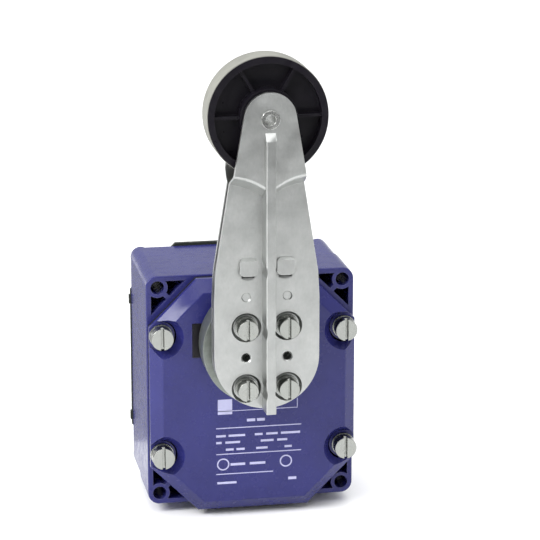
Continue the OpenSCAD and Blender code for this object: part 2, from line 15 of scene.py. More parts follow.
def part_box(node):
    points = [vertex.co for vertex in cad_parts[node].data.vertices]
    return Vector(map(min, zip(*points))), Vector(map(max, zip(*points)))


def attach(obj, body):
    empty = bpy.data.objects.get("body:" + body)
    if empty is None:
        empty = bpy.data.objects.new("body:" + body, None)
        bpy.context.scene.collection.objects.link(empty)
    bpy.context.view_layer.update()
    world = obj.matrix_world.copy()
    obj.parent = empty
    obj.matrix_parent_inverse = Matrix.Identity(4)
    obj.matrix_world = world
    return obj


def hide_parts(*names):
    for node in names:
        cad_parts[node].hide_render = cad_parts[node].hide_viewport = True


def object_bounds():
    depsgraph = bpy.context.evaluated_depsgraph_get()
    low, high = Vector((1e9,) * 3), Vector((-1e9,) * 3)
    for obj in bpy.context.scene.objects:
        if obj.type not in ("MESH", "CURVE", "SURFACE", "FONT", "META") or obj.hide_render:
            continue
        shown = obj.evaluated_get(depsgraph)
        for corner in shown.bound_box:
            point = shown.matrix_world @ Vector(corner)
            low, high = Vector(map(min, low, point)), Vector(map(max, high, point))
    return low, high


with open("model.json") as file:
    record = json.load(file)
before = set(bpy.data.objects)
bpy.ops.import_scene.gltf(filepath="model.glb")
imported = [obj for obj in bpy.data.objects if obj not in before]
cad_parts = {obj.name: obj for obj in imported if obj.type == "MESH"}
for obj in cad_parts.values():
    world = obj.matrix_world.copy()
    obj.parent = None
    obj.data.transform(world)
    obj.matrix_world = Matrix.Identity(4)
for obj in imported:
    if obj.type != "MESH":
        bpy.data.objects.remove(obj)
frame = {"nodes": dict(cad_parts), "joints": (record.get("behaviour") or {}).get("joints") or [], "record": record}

bl_info = {
    "name": "Rotary limit switch",
    "version": (1, 0, 0),
    "blender": (4, 5, 0),
    "location": "View3D > Sidebar > Limit switch",
    "description": "Builds a roller-lever limit switch piece by piece",
    "category": "Object",
}

MM = 0.001
TINY = 0.001 * MM
SIDES = (-1, 1)
M5_TAPPED = 2.55 * MM
M5_CLEAR = 2.6 * MM
cad_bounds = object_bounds()

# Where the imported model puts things
joint_at = {joint["name"]: Vector(joint["pos_m"]) for joint in frame["joints"] if "pos_m" in joint}
case_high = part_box("case")[1]
plate_low, plate_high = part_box("rear_plate")
gasket_low, gasket_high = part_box("cover_gasket")
cover_low, cover_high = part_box("cover")
stop_low, stop_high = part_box("stop_blocks")
screws_low, screws_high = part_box("cover_screws")
washers_low, washers_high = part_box("cover_screw_washers")
hub_low, hub_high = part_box("lever_hub")
lever_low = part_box("front_lever_plate")[0]
lever_screws_low, lever_screws_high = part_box("lever_screws")
lever_washers_low, lever_washers_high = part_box("lever_screw_washers")
axle_low, axle_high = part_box("axle")
wheel_low, wheel_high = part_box("roller_wheel")
tread_low, tread_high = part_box("roller_tread")

SHAFT_Z = joint_at["lever_swing"].z
AXLE = joint_at["roller_spin"]
RIM = gasket_high.y
CASE_BACK = plate_low.y
COVER_MIDDLE = (cover_low.z + cover_high.z) / 2
COVER_THROUGH = (-66 * MM, -56 * MM)


# ---- Sizes and colours that a user would change ----

def length(name, description, default):
    """A length property in metres, shown in the scene's units."""
    return FloatProperty(name=name, description=description, default=default, min=0, unit="LENGTH")


def colour(name, description, default):
    """A colour property for the base of a finish."""
    return FloatVectorProperty(name=name, description=description, default=default,
                               min=0, max=1, size=3, subtype="COLOR")


class SwitchBodySizes(bpy.types.PropertyGroup):
    """Sizes of the case, its cover and its rear plate"""
    corner_radius: length("Corner radius", "Radius of the case's upright corners", 5 * MM)
    edge_round: length("Edge rounding", "Rounding of the cast edges", 0.6 * MM)
    parting_step: length("Parting step", "How far the front half stands proud of the rear", 0.4 * MM)
    corner_cut: length("Corner cut", "Across the case's cut corners, as x plus z", 76.4 * MM)
    cover_cut: length("Cover cut", "Across the cover's cut corners, as x plus z", 75.6 * MM)
    cover_edge: length("Cover edge", "Height of the cover's upright edge", 2.2 * MM)
    cover_bevel: length("Cover bevel", "Width of the slope round the cover", 5.1 * MM)
    pocket_depth: length("Pocket depth", "Depth of the hollows at the corners", 20 * MM)
    corner_wall: length("Corner wall", "Thickness of the wall round a hollow", 2.2 * MM)
    chamber_wall: length("Chamber wall", "Thickness of the wall round the contacts", 3 * MM)
    fixing_x: length("Fixing spacing across", "Between the fixing holes, across", 80 * MM)
    fixing_z: length("Fixing spacing up", "Between the fixing holes, up", 92 * MM)
    fixing_hole: length("Fixing hole", "Radius of each fixing hole", 2.9 * MM)
    fixing_boss: length("Fixing boss", "Radius of the tube round each hole", 4.4 * MM)
    screw_column: length("Screw column", "Radius of the column under each cover screw", 4.8 * MM)
    screw_x: length("Cover screws across", "Between the cover screws, across", 79.2 * MM)
    screw_z: length("Cover screws up", "Between the cover screws, up", 53 * MM)


class SwitchLeverSizes(bpy.types.PropertyGroup):
    """Sizes of the lever and its screws"""
    thickness: length("Plate thickness", "Thickness of each lever plate", 2 * MM)
    foot_radius: length("Foot radius", "Radius of the lever's round foot", 22 * MM)
    eye_radius: length("Eye radius", "Radius of the lever's upper end", 10.9 * MM)
    joggle: length("Joggle", "How far the upper half steps away from the lower", 8.2 * MM)
    rib_width: length("Rib width", "Width of the rib along the middle", 4.2 * MM)
    rib_height: length("Rib height", "How far the rib stands in front of the lower half", 10.5 * MM)
    edge_round: length("Edge rounding", "Rounding of the pressed edges", 0.35 * MM)
    screw_x: length("Lever screws across", "Between the lever screws, across", 17.2 * MM)
    screw_z: length("Lever screws along", "Between the lever screws, along the lever", 26.2 * MM)


class SwitchRollerSizes(bpy.types.PropertyGroup):
    """Sizes of the roller"""
    rim_width: length("Rim width", "Width of the wheel's rim ring", 2.7 * MM)
    web_half: length("Web", "Half the thickness of the web", 1.6 * MM)
    hub_radius: length("Hub radius", "Radius of the wheel's hub", 11.8 * MM)
    rib_thickness: length("Rib thickness", "Thickness of each rib", 1.2 * MM)
    ribs: IntProperty(name="Ribs", description="Ribs on each side of the web", default=6, min=3, max=12)


class SwitchColours(bpy.types.PropertyGroup):
    """Base colours of the finishes"""
    paint: colour("Body paint", "Semi-gloss enamel of the case and cover", (0.022, 0.023, 0.128))
    rear: colour("Rear plate", "Olive-black paint of the rear plate", (0.022, 0.025, 0.019))
    zinc: colour("Lever zinc", "Zinc plate of the lever", (0.45, 0.46, 0.45))
    screws: colour("Screw zinc", "Bright zinc of the screws", (0.34, 0.35, 0.33))
    steel: colour("Shaft steel", "Ground steel of the shaft and axle", (0.60, 0.61, 0.59))
    casting: colour("Casting", "Bare zinc alloy of the hub", (0.23, 0.25, 0.23))
    wheel: colour("Wheel plastic", "Black plastic of the wheel", (0.006, 0.005, 0.008))
    tread: colour("Tread", "Warm grey tread", (0.21, 0.21, 0.185))
    rubber: colour("Rubber", "Seals and gasket", (0.008, 0.008, 0.011))
    cream: colour("Cream plastic", "Contact blocks and plungers", (0.70, 0.65, 0.53))
    brass: colour("Brass", "Contact strips", (0.62, 0.43, 0.16))
    bronze: colour("Bronze", "Oily sintered bushes", (0.38, 0.24, 0.11))
    spring: colour("Spring steel", "Springs and clip", (0.27, 0.27, 0.28))
    ink: colour("Ink", "Printing on the cover", (0.42, 0.42, 0.62))


# ---- Ways to shape a piece ----

def clear_selection():
    """Leaves edit mode with nothing selected."""
    if bpy.context.object and bpy.context.object.mode != "OBJECT":
        bpy.ops.object.mode_set(mode="OBJECT")
    bpy.ops.object.select_all(action="DESELECT")


def choose(piece):
    """Makes the piece the only one selected, and active."""
    clear_selection()
    piece.select_set(True)
    bpy.context.view_layer.objects.active = piece


def settle():
    """Applies the active piece's place, turn and scale to its mesh."""
    bpy.ops.object.transform_apply(location=True, rotation=True, scale=True)


def named(name):
    """Names the new piece and settles its place into its mesh."""
    piece = bpy.context.object
    piece.name = name
    piece.data.name = name
    settle()
    return piece


def block(name, low, high):
    """Box between two corners."""
    clear_selection()
    low, high = Vector(low), Vector(high)
    bpy.ops.mesh.primitive_cube_add(size=1, location=(low + high) / 2)
    bpy.context.object.scale = high - low
    return named(name)


def rod(name, x, z, front, back, radius, sides=64, back_radius=None):
    """Round bar along Y, tapered where back_radius is given."""
    clear_selection()
    place = (x, (front + back) / 2, z)
    bpy.ops.mesh.primitive_cone_add(vertices=sides, radius1=radius, depth=back - front, location=place,
                                    radius2=radius if back_radius is None else back_radius,
                                    rotation=(-math.pi / 2, 0, 0))
    return named(name)


def post(name, x, y, low, high, radius, sides=64):
    """Round bar along Z."""
    clear_selection()
    bpy.ops.mesh.primitive_cylinder_add(vertices=sides, radius=radius, depth=high - low,
                                        location=(x, y, (low + high) / 2))
    return named(name)


def pick(piece, kind, test):
    """Enters edit mode with the faces or edges that pass the test selected."""
    choose(piece)
    bpy.ops.object.mode_set(mode="EDIT")
    bpy.ops.mesh.select_mode(type=kind)
    bpy.ops.mesh.select_all(action="DESELECT")
    bpy.ops.object.mode_set(mode="OBJECT")
    items = piece.data.polygons if kind == "FACE" else piece.data.edges
    points = piece.data.vertices
    for item in items:
        item.select = bool(test(item, [points[i].co for i in item.vertices]))
    bpy.ops.object.mode_set(mode="EDIT")


def done():
    """Leaves edit mode."""
    bpy.ops.object.mode_set(mode="OBJECT")


def extrude(move):
    """Extrudes the picked faces by a move."""
    bpy.ops.mesh.extrude_region_move(TRANSFORM_OT_translate={"value": move})


def bevel_edges(piece, test, width, segments):
    """Bevels the edges that pass the test."""
    pick(piece, "EDGE", test)
    bpy.ops.mesh.bevel(offset=width, segments=segments, affect="EDGES")
    done()
    return piece


def facing(direction, level=None):
    """Test for faces that look along a direction, and pass through a level on Y if one is given."""
    aim = Vector(direction).normalized()

    def test(face, points):
        flat = face.normal.dot(aim) > 0.999
        return flat and (level is None or abs(points[0].y - level) < 0.01 * MM)
    return test


def along_y(edge, points):
    """Test for edges that run along Y."""
    run = points[1] - points[0]
    return abs(run.y) > 0.99 * run.length


def round_corners(piece, radius, segments):
    """Bevels the edges along Y: one segment cuts the corner, more round it."""
    return bevel_edges(piece, along_y, radius, segments)


def round_rim(piece, level, width, segments=3):
    """Bevels the edges that lie at one depth."""
    return bevel_edges(piece, lambda edge, points: all(abs(p.y - level) < TINY for p in points),
                       width, segments)


def octagon(name, half_x, half_z, cut, front, back, middle=0):
    """Plate with cut corners, where x plus z passes cut."""
    plate = block(name, (-half_x, front, middle - half_z), (half_x, back, middle + half_z))
    return round_corners(plate, half_x + half_z - cut, 1)


def slice_off(piece, point, direction):
    """Removes what lies beyond a plane, on the side that direction points to."""
    choose(piece)
    bpy.ops.object.mode_set(mode="EDIT")
    bpy.ops.mesh.select_mode(type="FACE")
    bpy.ops.mesh.select_all(action="SELECT")
    bpy.ops.mesh.bisect(plane_co=point, plane_no=Vector(direction).normalized(),
                        use_fill=True, clear_outer=True, clear_inner=False)
    done()


def combine(piece, operation, tools):
    """Applies a Boolean with each tool in turn and removes the tools."""
    for tool in tools:
        choose(piece)
        modifier = piece.modifiers.new("Boolean", "BOOLEAN")
        modifier.operation = operation
        modifier.solver = "EXACT"
        modifier.object = tool
        bpy.ops.object.modifier_apply(modifier=modifier.name)
        bpy.data.objects.remove(tool)
    if not piece.data.polygons:
        raise RuntimeError(f"{piece.name} has no faces left")
    return piece


def cut(piece, *tools):
    """Cuts the tools out of the piece."""
    return combine(piece, "DIFFERENCE", tools)


def add(piece, *tools):
    """Joins the tools to the piece as one solid."""
    return combine(piece, "UNION", tools)


def merge_flats(piece):
    """Joins doubled points and merges faces that lie in one plane."""
    choose(piece)
    bpy.ops.object.mode_set(mode="EDIT")
    bpy.ops.mesh.select_all(action="SELECT")
    bpy.ops.mesh.remove_doubles(threshold=0.004 * MM)
    bpy.ops.mesh.dissolve_limited(angle_limit=math.radians(0.5))
    done()


def soften(piece, width, segments=2, angle=32):
    """Rounds the edges, then shades the curved faces smooth and the flat ones flat."""
    merge_flats(piece)
    bevel = piece.modifiers.new("Bevel", "BEVEL")
    bevel.width = width
    bevel.segments = segments
    bevel.limit_method = "ANGLE"
    bevel.angle_limit = math.radians(angle)
    bevel.miter_outer = "MITER_ARC"
    bpy.ops.object.modifier_apply(modifier=bevel.name)
    bpy.ops.object.shade_smooth_by_angle(angle=math.radians(35))
    weighted = piece.modifiers.new("Normals", "WEIGHTED_NORMAL")
    weighted.keep_sharp = True
    bpy.ops.object.modifier_apply(modifier=weighted.name)
    return piece


def copied(piece, name, move):
    """Copy of a piece with its own mesh, moved."""
    choose(piece)
    bpy.ops.object.duplicate(linked=False)
    bpy.context.object.location = move
    return named(name)


def turned_over(piece, middle):
    """Mirrors the piece front to back about a depth."""
    choose(piece)
    piece.matrix_world = Matrix.Translation((0, 2 * middle, 0)) @ Matrix.Diagonal((1, -1, 1, 1))
    settle()
    bpy.ops.object.mode_set(mode="EDIT")
    bpy.ops.mesh.select_all(action="SELECT")
    bpy.ops.mesh.normals_make_consistent(inside=False)
    done()
    return piece


def fit(piece, body, slot, *nodes):
    """Gives a piece the finish of its slot and its body, and hides the CAD nodes that it stands for, where any are
    given.
    """
    piece.data.materials.clear()
    piece.data.materials.append(finish(slot))
    if nodes:
        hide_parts(*nodes)
    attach(piece, body)


# ---- Finishes ----

FINISH = "_finish"


class Layers:
    """A material under construction: its nodes, and what feeds its shader."""

    def __init__(self, name):
        self.material = bpy.data.materials.new(name + FINISH)
        self.material.use_nodes = True
        self.nodes = self.material.node_tree.nodes
        self.links = self.material.node_tree.links
        self.shader = self.nodes["Principled BSDF"]
        self.place = self.nodes.new("ShaderNodeTexCoord").outputs["Object"]

    def join(self, output, socket):
        self.links.new(output, socket)

    def stretched(self, scale):
        """Object coordinates, stretched for brushed or drawn grain."""
        mapping = self.nodes.new("ShaderNodeMapping")
        mapping.inputs["Scale"].default_value = scale
        self.join(self.place, mapping.inputs["Vector"])
        return mapping.outputs["Vector"]

    def noise(self, scale, detail=4, rough=0.55, place=None):
        """Cloudy noise of scale features per metre."""
        node = self.nodes.new("ShaderNodeTexNoise")
        node.inputs["Scale"].default_value = scale
        node.inputs["Detail"].default_value = detail
        node.inputs["Roughness"].default_value = rough
        self.join(place or self.place, node.inputs["Vector"])
        return node.outputs["Fac"]

    def ranged(self, value, from_low, from_high, to_low, to_high):
        node = self.nodes.new("ShaderNodeMapRange")
        levels = (from_low, from_high, to_low, to_high)
        for name, level in zip(("From Min", "From Max", "To Min", "To Max"), levels):
            node.inputs[name].default_value = level
        self.join(value, node.inputs["Value"])
        return node.outputs["Result"]

    def times(self, first, second):
        node = self.nodes.new("ShaderNodeMath")
        node.operation = "MULTIPLY"
        self.join(first, node.inputs[0])
        self.join(second, node.inputs[1])
        return node.outputs[0]

    def mixed(self, share, first, second):
        """Colour between two, each a colour or another node's output."""
        node = self.nodes.new("ShaderNodeMix")
        node.data_type = "RGBA"
        self.join(share, node.inputs["Factor"])
        for socket, value in ((node.inputs[6], first), (node.inputs[7], second)):
            if isinstance(value, bpy.types.NodeSocket):
                self.join(value, socket)
            else:
                socket.default_value = (*value, 1)
        return node.outputs[2]

    def edges(self, radius):
        """Mask that is 1 on sharp edges, from the angle between the face and its rounded normal."""
        bevel = self.nodes.new("ShaderNodeBevel")
        bevel.samples = 4
        bevel.inputs["Radius"].default_value = radius
        dot = self.nodes.new("ShaderNodeVectorMath")
        dot.operation = "DOT_PRODUCT"
        self.join(bevel.outputs["Normal"], dot.inputs[0])
        self.join(self.nodes.new("ShaderNodeNewGeometry").outputs["Normal"], dot.inputs[1])
        return self.ranged(dot.outputs["Value"], 0.99, 0.80, 0, 1)

    def relief(self, heights):
        """Stacks bumps, each a height output and its depth in metres."""
        normal = None
        for height, depth in heights:
            bump = self.nodes.new("ShaderNodeBump")
            bump.inputs["Strength"].default_value = 1
            bump.inputs["Distance"].default_value = depth
            self.join(height, bump.inputs["Height"])
            if normal:
                self.join(normal, bump.inputs["Normal"])
            normal = bump.outputs["Normal"]
        self.join(normal, self.shader.inputs["Normal"])


def shaded(base, amount):
    """The colour made lighter or darker."""
    return tuple(min(1, c * amount) for c in base)


def painted(name, base, gloss, peel):
    """Enamel over a casting: orange peel, faint cloudiness and paler patches along the edges."""
    m = Layers(name)
    cloud = m.ranged(m.noise(55), 0.3, 0.7, 0, 1)
    body = m.mixed(cloud, shaded(base, 0.90), shaded(base, 1.10))
    # Paler in noisy patches along the sharp edges.
    pale_edge_patches = m.times(m.edges(0.5 * MM), m.ranged(m.noise(900), 0.40, 0.62, 0, 0.45))
    m.join(m.mixed(pale_edge_patches, body, [0.5 * c + 0.20 for c in base]), m.shader.inputs["Base Color"])
    m.join(m.ranged(m.noise(300), 0.3, 0.7, gloss - 0.05, gloss + 0.07), m.shader.inputs["Roughness"])
    m.shader.inputs["Specular IOR Level"].default_value = 0.30
    m.relief([(m.noise(650, 2), peel), (m.noise(2600, 2), peel / 5)])
    return m.material


def plated(name, base, rough, grain=(1, 1, 1), cloud=0.16):
    """Bright or satin plate on steel: spangled clouds, fine drawn grain, and every edge painted brighter as a
    highlight.
    """
    m = Layers(name)
    patches = m.ranged(m.noise(85, 6, 0.62), 0.30, 0.70, 0, 1)
    lines = m.noise(1500, 3, 0.6, m.stretched(grain))
    body = m.mixed(patches, shaded(base, 1 - cloud), shaded(base, 1 + cloud / 2))
    body = m.mixed(m.ranged(lines, 0.35, 0.65, 0, 0.16), body, shaded(base, 0.62))
    # Painted highlight: each sharp edge is mixed towards a brighter colour.
    painted_edge_highlight = m.ranged(m.edges(0.4 * MM), 0, 1, 0, 0.7)
    m.join(m.mixed(painted_edge_highlight, body, shaded(base, 1.35)), m.shader.inputs["Base Color"])
    m.join(m.ranged(patches, 0, 1, rough - 0.05, rough + 0.09), m.shader.inputs["Roughness"])
    m.shader.inputs["Metallic"].default_value = 1
    m.relief([(lines, 0.012 * MM), (m.noise(420, 3), 0.02 * MM)])
    return m.material


def cast(name, base):
    """Bare casting: grainy skin with dark pores, and every edge painted brighter as a highlight."""
    m = Layers(name)
    skin = m.ranged(m.noise(500, 6, 0.65), 0.3, 0.7, 0, 1)
    body = m.mixed(skin, shaded(base, 0.80), shaded(base, 1.12))
    # Painted highlight: each sharp edge is mixed towards a much brighter colour.
    painted_edge_highlight = m.ranged(m.edges(0.5 * MM), 0, 1, 0, 0.8)
    m.join(m.mixed(painted_edge_highlight, body, shaded(base, 1.7)), m.shader.inputs["Base Color"])
    m.join(m.ranged(skin, 0, 1, 0.34, 0.50), m.shader.inputs["Roughness"])
    m.shader.inputs["Metallic"].default_value = 0.85
    m.relief([(m.noise(1400, 4), 0.03 * MM), (m.noise(260, 3), 0.05 * MM)])
    return m.material


def moulded(name, base, rough, relief=0.02 * MM, edge_tone=1.5, shine=0.5):
    """Moulded plastic or rubber: fine texture, uneven gloss and a changed colour in patches along the edges."""
    m = Layers(name)
    cloud = m.ranged(m.noise(90), 0.3, 0.7, 0, 1)
    body = m.mixed(cloud, shaded(base, 0.86), shaded(base, 1.12))
    # The colour changes in noisy patches along the sharp edges.
    edge_tone_patches = m.times(m.edges(0.45 * MM), m.ranged(m.noise(700), 0.35, 0.65, 0, 0.6))
    m.join(m.mixed(edge_tone_patches, body, [edge_tone * c + 0.02 for c in base]), m.shader.inputs["Base Color"])
    gloss = m.ranged(m.noise(260, 4), 0.3, 0.7, rough - 0.07, rough + 0.08)
    m.join(gloss, m.shader.inputs["Roughness"])
    m.shader.inputs["Specular IOR Level"].default_value = shine
    m.relief([(m.noise(1800, 3), relief), (m.noise(220, 2), relief)])
    return m.material


def make_finishes(colours):
    """Every finish by its slot in the record, with the printing ink."""
    return {
        "body_paint": painted("body_paint", colours.paint, 0.24, 0.004 * MM),
        "dark_plate": painted("dark_plate", colours.rear, 0.50, 0.05 * MM),
        "screw_zinc": plated("screw_zinc", colours.screws, 0.24, (1, 1, 0.2), 0.10),
        "lever_zinc": plated("lever_zinc", colours.zinc, 0.36, (1, 1, 0.4), 0.22),
        "shaft_steel": plated("shaft_steel", colours.steel, 0.22, (1, 0.2, 1), 0.08),
        "die_cast": cast("die_cast", colours.casting),
        "black_plastic": moulded("black_plastic", colours.wheel, 0.34, 0.012 * MM, 1.5, 0.22),
        "tread_plastic": moulded("tread_plastic", colours.tread, 0.55, 0.04 * MM, 0.8),
        "black_rubber": moulded("black_rubber", colours.rubber, 0.62, 0.03 * MM, 1.5, 0.25),
        "bronze": cast("bronze", colours.bronze),
        "contact_brass": plated("contact_brass", colours.brass, 0.28, (0.3, 1, 1), 0.12),
        "cream_plastic": moulded("cream_plastic", colours.cream, 0.45, 0.02 * MM, 1.0),
        "spring_steel": plated("spring_steel", colours.spring, 0.30, (1, 1, 1), 0.12),
        "ink": moulded("ink", colours.ink, 0.50, 0.005 * MM, 1.0),
    }


def finish(slot):
    """The material of a slot, made when it is first asked for."""
    if slot + FINISH not in bpy.data.materials:
        make_finishes(bpy.context.scene.switch_colours)
    return bpy.data.materials[slot + FINISH]


# ---- Housing ----

def four_places(spacing_x, spacing_z, middle=0):
    """Centres of four like features round a middle height."""
    return [(x * spacing_x / 2, middle + z * spacing_z / 2) for x in SIDES for z in SIDES]


def corner_hollow(sizes, side_x, side_z):
    """Cutter for one corner's hollow, which leaves the tube round the fixing hole and its web."""
    inside_x = case_high.x - sizes.corner_wall
    inside_z = case_high.z - sizes.corner_wall
    slope = sizes.corner_cut + 0.5 * MM
    low_x, low_z = slope - inside_z, slope - inside_x
    x_range = sorted((side_x * low_x, side_x * inside_x))
    z_range = sorted((side_z * low_z, side_z * inside_z))
    hollow = block("hollow", (x_range[0], RIM - MM, z_range[0]),
                   (x_range[1], RIM + sizes.pocket_depth, z_range[1]))
    slice_off(hollow, (side_x * low_x, 0, side_z * inside_z), (-side_x, 0, -side_z))
    place = (side_x * sizes.fixing_x / 2, side_z * sizes.fixing_z / 2)
    web = block("web", (-MM, RIM - 2 * MM, -7.5 * MM), (MM, RIM + 25 * MM, 0))
    choose(web)
    web.rotation_euler = (0, side_x * side_z * math.radians(45) + (math.pi if side_z < 0 else 0), 0)
    web.location = (place[0], 0, place[1])
    settle()
    return cut(hollow, rod("tube", *place, RIM - 2 * MM, RIM + 25 * MM, sizes.fixing_boss), web)


class SWITCH_OT_case(bpy.types.Operator):
    """Adds the cast case with its corner hollows, fixing holes and cable entries"""
    bl_idname = "switch.add_case"
    bl_label = "Case"

    def execute(self, context):
        sizes = context.scene.switch_body
        half_x, half_z = case_high.x, case_high.z
        parting = (RIM + CASE_BACK) / 2
        step = sizes.parting_step
        case = block("case_body", (-half_x, RIM, -half_z), (half_x, parting, half_z))
        round_corners(case, sizes.corner_radius, 10)
        round_rim(case, RIM, sizes.edge_round)
        core = block("core", (MM - half_x, parting - 2 * MM, MM - half_z),
                     (half_x - MM, parting + 2 * MM, half_z - MM))
        rear = block("rear_half", (step - half_x, parting + 0.35 * MM, step - half_z),
                     (half_x - step, CASE_BACK, half_z - step))
        round_corners(core, sizes.corner_radius, 10)
        round_corners(rear, sizes.corner_radius, 10)
        round_rim(rear, CASE_BACK, sizes.edge_round)
        add(case, core, rear)
        feet = [rod("foot", x, z, CASE_BACK - MM, 0, sizes.fixing_boss)
                for x, z in four_places(sizes.fixing_x, sizes.fixing_z)]
        add(case, *feet)
        wall = sizes.chamber_wall
        chamber = octagon("chamber", half_x - wall, half_z - wall, sizes.corner_cut - 4.4 * MM,
                          RIM - MM, CASE_BACK - 4 * MM)
        columns = [rod("column", x, z, RIM - 2 * MM, CASE_BACK, sizes.screw_column)
                   for x, z in four_places(sizes.screw_x, sizes.screw_z)]
        cut(case, cut(chamber, *columns))
        cut(case, *[corner_hollow(sizes, x, z) for x in SIDES for z in SIDES])
        cut(case, *[rod("bore", x, z, RIM - MM, MM, sizes.fixing_hole, 32)
                    for x, z in four_places(sizes.fixing_x, sizes.fixing_z)])
        cut(case, *[rod("thread", x, z, RIM - MM, RIM + 16 * MM, M5_TAPPED, 32)
                    for x, z in four_places(sizes.screw_x, sizes.screw_z)])
        entries = [(side * 19 * MM, -29 * MM) for side in SIDES]
        add(case, *[post("entry_boss", x, y, -half_z + MM, -43 * MM, 13 * MM) for x, y in entries])
        cut(case, *[post("entry", x, y, -half_z - MM, -42 * MM, 10.2 * MM) for x, y in entries])
        soften(case, 0.25 * MM, 2, 50)
        fit(case, "housing", "body_paint", "case")
        return {"FINISHED"}


class SWITCH_OT_rear_plate(bpy.types.Operator):
    """Adds the rear closing plate with its small lugs"""
    bl_idname = "switch.add_rear_plate"
    bl_label = "Rear plate"

    def execute(self, context):
        sizes = context.scene.switch_body
        lug = 0.6 * MM
        half_x, half_z = plate_high.x - lug, plate_high.z
        plate = octagon("rear_cover_plate", half_x, half_z, sizes.corner_cut, plate_low.y, plate_high.y)
        lugs = [block("lug", (x * half_x - lug, plate_low.y, z * 27 * MM - 2 * MM),
                      (x * half_x + lug, plate_high.y, z * 27 * MM + 2 * MM))
                for x in SIDES for z in SIDES]
        add(plate, *lugs)
        places = four_places(63 * MM, 68 * MM)
        cut(plate, *[rod("sink", x, z, -1.8 * MM, 0.01 * MM, 2.2 * MM, 32, 4 * MM) for x, z in places])
        cut(plate, *[rod("hole", x, z, -3 * MM, MM, 2.2 * MM, 32) for x, z in places])
        soften(plate, 0.25 * MM, 2)
        fit(plate, "housing", "dark_plate", "rear_plate")
        return {"FINISHED"}


class SWITCH_OT_cover(bpy.types.Operator):
    """Adds the cover with its sloped edge and screw pockets, its gasket and the two stop blocks"""
    bl_idname = "switch.add_cover"
    bl_label = "Cover"

    def execute(self, context):
        sizes = context.scene.switch_body
        half_z = (cover_high.z - cover_low.z) / 2
        edge = cover_high.y - sizes.cover_edge
        cover = octagon("cover_plate", cover_high.x, half_z, sizes.cover_cut, edge, cover_high.y,
                        COVER_MIDDLE)
        pick(cover, "FACE", facing((0, -1, 0)))
        bpy.ops.mesh.inset(thickness=sizes.cover_bevel, depth=edge - cover_low.y)
        done()
        round_rim(cover, cover_low.y, 0.4 * MM)
        round_rim(cover, edge, 0.4 * MM)
        hollow = octagon("hollow", 41 * MM, 47 * MM, 70.4 * MM, -60 * MM, cover_high.y + MM)
        cut(hollow, *[rod("pad", x, z, -61 * MM, cover_high.y + 2 * MM, 6 * MM)
                      for x, z in four_places(sizes.screw_x, sizes.screw_z)])
        cut(cover, hollow)
        seat = washers_high.y
        for x, z in four_places(sizes.screw_x, sizes.screw_z):
            cut(cover, rod("bore", x, z, *COVER_THROUGH, 2.75 * MM, 32),
                rod("seat", x, z, seat - 1.6 * MM, seat, 6.6 * MM),
                rod("mouth", x, z, seat - 4.9 * MM, seat - 1.2 * MM, 9.4 * MM, 64, 6.6 * MM))
        half_w = stop_high.x + 0.05 * MM
        cut(cover, block("recess", (-half_w, cover_low.y - MM, stop_low.z - 0.05 * MM),
                         (half_w, stop_high.y, stop_high.z + 0.05 * MM)),
            rod("bore", 0, SHAFT_Z, *COVER_THROUGH, 12 * MM))
        soften(cover, 0.35 * MM, 3, 40)
        fit(cover, "housing", "body_paint", "cover")

        half_z = (gasket_high.z - gasket_low.z) / 2
        gasket = octagon("gasket", gasket_high.x, half_z, sizes.cover_cut - 0.5 * MM,
                         gasket_low.y, gasket_high.y, COVER_MIDDLE)
        wall = sizes.chamber_wall
        opening = octagon("opening", case_high.x - wall, case_high.z - wall,
                          sizes.corner_cut - 4.4 * MM, gasket_low.y - MM, gasket_high.y + MM)
        places = four_places(sizes.screw_x, sizes.screw_z)
        cut(opening, *[rod("pad", x, z, -60 * MM, -52 * MM, 4.6 * MM) for x, z in places])
        cut(gasket, opening, *[rod("hole", x, z, -60 * MM, -52 * MM, 2.8 * MM, 32) for x, z in places])
        soften(gasket, 0.5 * MM, 2)
        fit(gasket, "housing", "black_rubber", "cover_gasket")

        for side, name in ((-1, "stop_block_left"), (1, "stop_block_right")):
            ends = sorted((side * 8 * MM, side * stop_high.x))
            stop = block(name, (ends[0], stop_low.y, stop_low.z), (ends[1], stop_high.y, stop_high.z))
            cut(stop, rod("bore", 0, SHAFT_Z, *COVER_THROUGH, 12.05 * MM))
            soften(stop, 0.3 * MM, 2)
            fit(stop, "housing", "black_plastic", "stop_blocks")
        return {"FINISHED"}


